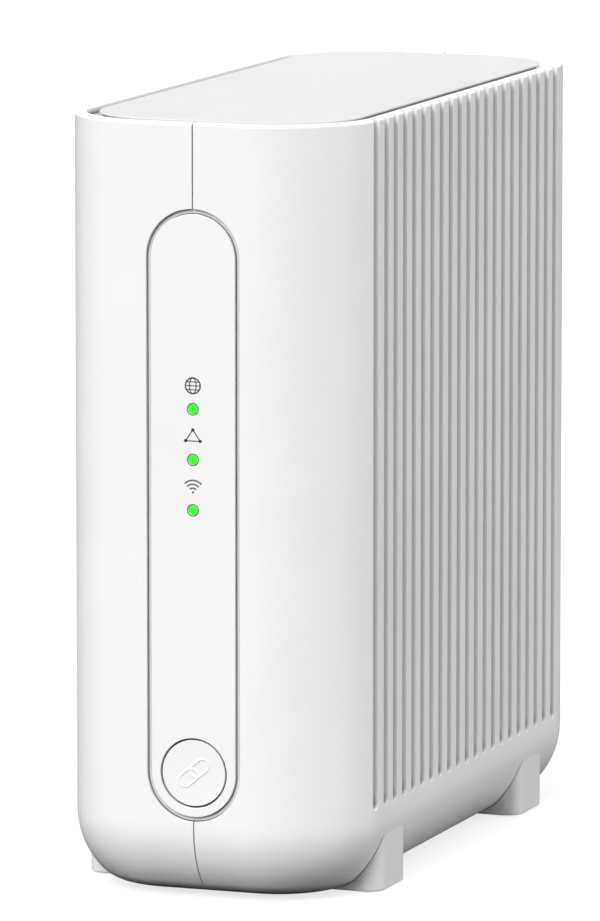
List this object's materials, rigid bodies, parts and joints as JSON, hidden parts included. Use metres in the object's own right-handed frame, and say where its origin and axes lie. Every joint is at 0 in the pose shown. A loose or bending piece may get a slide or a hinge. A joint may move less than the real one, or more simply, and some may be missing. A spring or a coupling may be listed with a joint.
{
  "type": "wireless router",
  "caption": "Upright wireless router with grooved white sides, a pill-shaped front panel with status lights and a push button, four feet and a socket recess at the back.",
  "frame": {"origin": "on the table under the middle of the case", "axes": "front panel towards -Y, sockets towards +Y, width along X, height along +Z"},
  "size_m": [0.075, 0.18, 0.184],
  "materials": {
    "case_white": "fine moulded satin",
    "cover_grey": "fine moulded satin",
    "trim_grey": "satin",
    "light_lens": "clear green, lit from behind",
    "lamp": "frosted",
    "black_plastic": "satin",
    "circuit_board": "solder mask with copper tracks",
    "flat_cable": "satin",
    "panel_grey": "fine moulded satin",
    "wan_plastic": "satin",
    "lan_plastic": "satin",
    "contact_gold": "gold flash",
    "nickel": "nickel plate",
    "frame_plastic": "moulded",
    "chip_black": "moulded epoxy",
    "can_metal": "sleeved can",
    "pad_soft": "soft",
    "aluminium": "extruded",
    "lead_black": "jacket",
    "ballast": "phosphated",
    "screw_steel": "zinc plate",
    "foot_white": "moulded satin",
    "pad_rubber": "matt",
    "label": "blank silver film"
  },
  "bodies": {
    "case": {"case_left": "case_white", "case_right": "case_white", "top_tray": "case_white", "top_cover": "cover_grey", "front_panel": "case_white", "trim_ring": "trim_grey", "light_guide": "light_lens", "light_shroud": "black_plastic", "front_board": "circuit_board", "status_leds": "lamp", "pairing_switch": "black_plastic", "front_ribbon": "flat_cable", "rear_panel": "panel_grey", "wan_socket": "wan_plastic", "lan_socket_1": "lan_plastic", "lan_socket_2": "lan_plastic", "lan_socket_3": "lan_plastic", "lan_socket_4": "lan_plastic", "socket_contacts": "contact_gold", "power_inlet": "black_plastic", "power_inlet_pin": "nickel", "power_switch": "frame_plastic", "reset_switch": "black_plastic", "main_board": "circuit_board", "board_frame": "frame_plastic", "processor": "chip_black", "memory_chips": "chip_black", "radio_chips": "chip_black", "socket_transformers": "chip_black", "power_coils": "chip_black", "capacitors": "can_metal", "radio_shields": "nickel", "thermal_pads": "pad_soft", "heat_sink": "aluminium", "heat_spreader": "aluminium", "antenna_boards": "circuit_board", "antenna_pads": "pad_soft", "antenna_leads": "lead_black", "antenna_plugs": "contact_gold", "base_weight": "ballast", "frame_screws": "screw_steel", "case_screws": "screw_steel", "foot_front_left": "foot_white", "foot_front_right": "foot_white", "foot_rear_left": "foot_white", "foot_rear_right": "foot_white", "foot_pads": "pad_rubber", "rating_label": "label"},
    "pairing_button": {"pairing_button": "case_white"},
    "pairing_plunger": {"pairing_plunger": "black_plastic"},
    "power_button": {"power_button": "black_plastic"},
    "reset_pin": {"reset_pin": "black_plastic"}
  },
  "joints": [
    {"name": "pairing_press", "type": "slide", "parent": "case", "child": "pairing_button", "axis": [0, 1, 0], "range_m": [0, 0.0005], "stiffness_N_per_m": 3000},
    {"name": "pairing_plunger_press", "type": "slide", "parent": "case", "child": "pairing_plunger", "axis": [0, 1, 0], "range_m": [0, 0.0005]},
    {"name": "power_press", "type": "slide", "parent": "case", "child": "power_button", "axis": [0, -1, 0], "range_m": [0, 0.002], "stiffness_N_per_m": 900},
    {"name": "reset_press", "type": "slide", "parent": "case", "child": "reset_pin", "axis": [0, -1, 0], "range_m": [0, 0.0004], "stiffness_N_per_m": 2500}
  ],
  "couplings": [
    {"joint": "pairing_plunger_press", "follows": "pairing_press", "ratio": 1}
  ]
}
